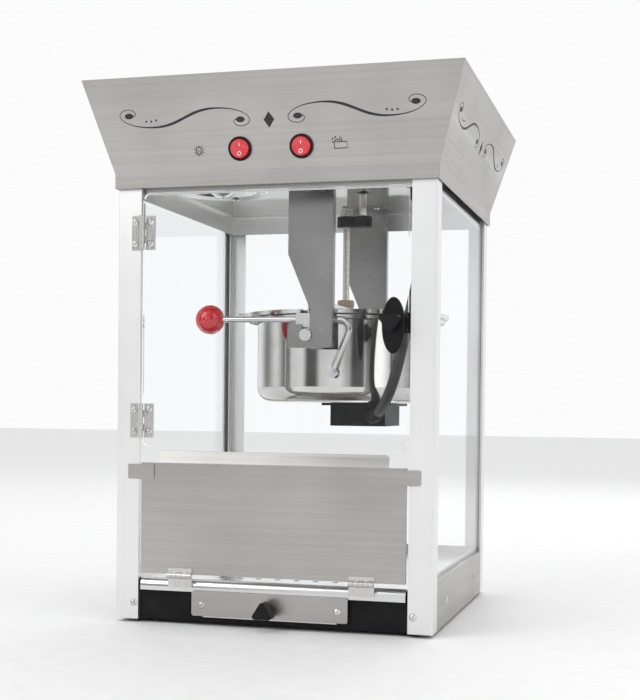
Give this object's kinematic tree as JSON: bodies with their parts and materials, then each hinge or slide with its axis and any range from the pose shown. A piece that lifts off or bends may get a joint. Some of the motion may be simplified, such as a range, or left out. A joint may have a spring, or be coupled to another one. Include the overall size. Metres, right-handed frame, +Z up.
{
  "type": "popcorn maker",
  "caption": "Tabletop popcorn maker: glass cabinet with flared steel canopy, hinged glass door, drop-down front, crumb drawer and a tilting, stirred kettle.",
  "frame": {"origin": "middle of the footprint, on the surface that the feet stand on", "axes": "+X to the user's right, +Y away from the user, +Z up"},
  "size_m": [0.4248, 0.4212, 0.6],
  "materials": {
    "stainless_panel": "fine horizontal brushing",
    "tray_steel": "bright rolled sheet",
    "post_aluminium": "satin extrusion",
    "cabinet_glass": "clear tempered",
    "lamp_glass": "clear",
    "lamp_reflector": "satin spun dish",
    "kettle_steel": "polished",
    "handle_chrome": "mirror plated",
    "hinge_steel": "plain bright",
    "screw_steel": "zinc plated",
    "shaft_steel": "turned, warm grey",
    "black_steel": "satin black",
    "black_plastic": "satin black",
    "gear_plastic": "moulded black",
    "lead_sleeve": "matt black sleeve",
    "red_ball": "gloss red",
    "red_lens": "translucent red",
    "foot_rubber": "matt black"
  },
  "bodies": {
    "cabinet": {"base_pan": "black_steel", "skirt_left": "stainless_panel", "skirt_right": "stainless_panel", "skirt_rear": "stainless_panel", "post_front_left": "post_aluminium", "post_front_right": "post_aluminium", "post_rear_left": "post_aluminium", "post_rear_right": "post_aluminium", "top_frame": "post_aluminium", "ceiling_panel": "stainless_panel", "canopy_front": "stainless_panel", "canopy_rear": "stainless_panel", "canopy_left": "stainless_panel", "canopy_right": "stainless_panel", "canopy_top": "stainless_panel", "glass_left": "cabinet_glass", "glass_right": "cabinet_glass", "glass_rear": "cabinet_glass", "lamp_flange": "lamp_reflector", "lamp_dome": "lamp_glass", "lamp_bulb": "lamp_glass", "gear_motor": "black_steel", "hanger_front": "stainless_panel", "hanger_rear": "stainless_panel", "switch_housings": "black_plastic", "power_inlet": "black_plastic", "kettle_socket": "black_plastic", "kettle_lead": "lead_sleeve", "lead_plug": "black_plastic", "hinge_leaves_fixed": "hinge_steel", "magnet_catch": "black_plastic", "popcorn_tray": "tray_steel", "feet": "foot_rubber", "cabinet_screws": "screw_steel"},
    "door": {"door_glass": "cabinet_glass", "door_hinge_leaves": "hinge_steel", "door_knob_plate": "black_plastic", "door_knob": "black_plastic", "door_screws": "screw_steel"},
    "front_flap": {"drop_panel": "stainless_panel", "drop_panel_ears": "stainless_panel", "drop_panel_hinge_leaves": "hinge_steel"},
    "drawer": {"drawer_box": "tray_steel", "drawer_front": "stainless_panel", "drawer_knob": "black_plastic", "drawer_screws": "screw_steel"},
    "lamp_rocker": {"rocker_lamp": "red_lens"},
    "kettle_rocker": {"rocker_kettle": "red_lens"},
    "kettle": {"kettle_pot": "kettle_steel", "lid_bar": "kettle_steel", "heater_box": "black_steel", "kettle_ears": "hinge_steel", "handle_rod": "handle_chrome", "handle_ball": "red_ball"},
    "left_lid": {"pour_lid": "kettle_steel"},
    "right_lid": {"fill_lid": "kettle_steel"},
    "stirrer": {"stirrer_shaft": "shaft_steel", "stirrer_gear": "gear_plastic", "stirrer_paddle": "shaft_steel"},
    "drive": {"drive_gear": "gear_plastic"}
  },
  "joints": [
    {"name": "door_swing", "type": "hinge", "parent": "cabinet", "child": "door", "pos_m": [-0.15075, -0.1838, 0.329], "axis": [0, 0, -1], "range_deg": [0, 110]},
    {"name": "flap_fold", "type": "hinge", "parent": "cabinet", "child": "front_flap", "pos_m": [0, -0.1836, 0.0546], "axis": [1, 0, 0], "range_deg": [0, 100]},
    {"name": "drawer_slide", "type": "slide", "parent": "cabinet", "child": "drawer", "axis": [0, -1, 0], "range_m": [0, 0.19]},
    {"name": "lamp_switch", "type": "hinge", "parent": "cabinet", "child": "lamp_rocker", "pos_m": [-0.0345, -0.19033, 0.51968], "axis": [1, 0, 0], "range_deg": [0, 18]},
    {"name": "kettle_switch", "type": "hinge", "parent": "cabinet", "child": "kettle_rocker", "pos_m": [0.0345, -0.19033, 0.51968], "axis": [1, 0, 0], "range_deg": [0, 18]},
    {"name": "kettle_tilt", "type": "hinge", "parent": "cabinet", "child": "kettle", "pos_m": [0.024, 0, 0.322], "axis": [0, -1, 0], "range_deg": [0, 90], "deforming": ["kettle_lead"]},
    {"name": "pour_lid_lift", "type": "hinge", "parent": "kettle", "child": "left_lid", "pos_m": [0.0174, 0, 0.351], "axis": [0, 1, 0], "range_deg": [0, 80]},
    {"name": "fill_lid_lift", "type": "hinge", "parent": "kettle", "child": "right_lid", "pos_m": [0.0546, 0, 0.351], "axis": [0, -1, 0], "range_deg": [0, 80]},
    {"name": "stirrer_spin", "type": "hinge", "parent": "kettle", "child": "stirrer", "pos_m": [0.036, 0, 0.4], "axis": [0, 0, 1], "continuous": true},
    {"name": "drive_spin", "type": "hinge", "parent": "cabinet", "child": "drive", "pos_m": [0.056, 0, 0.465], "axis": [0, 0, 1], "continuous": true}
  ],
  "couplings": [
    {"joint": "drive_spin", "follows": "stirrer_spin", "ratio": -1}
  ]
}
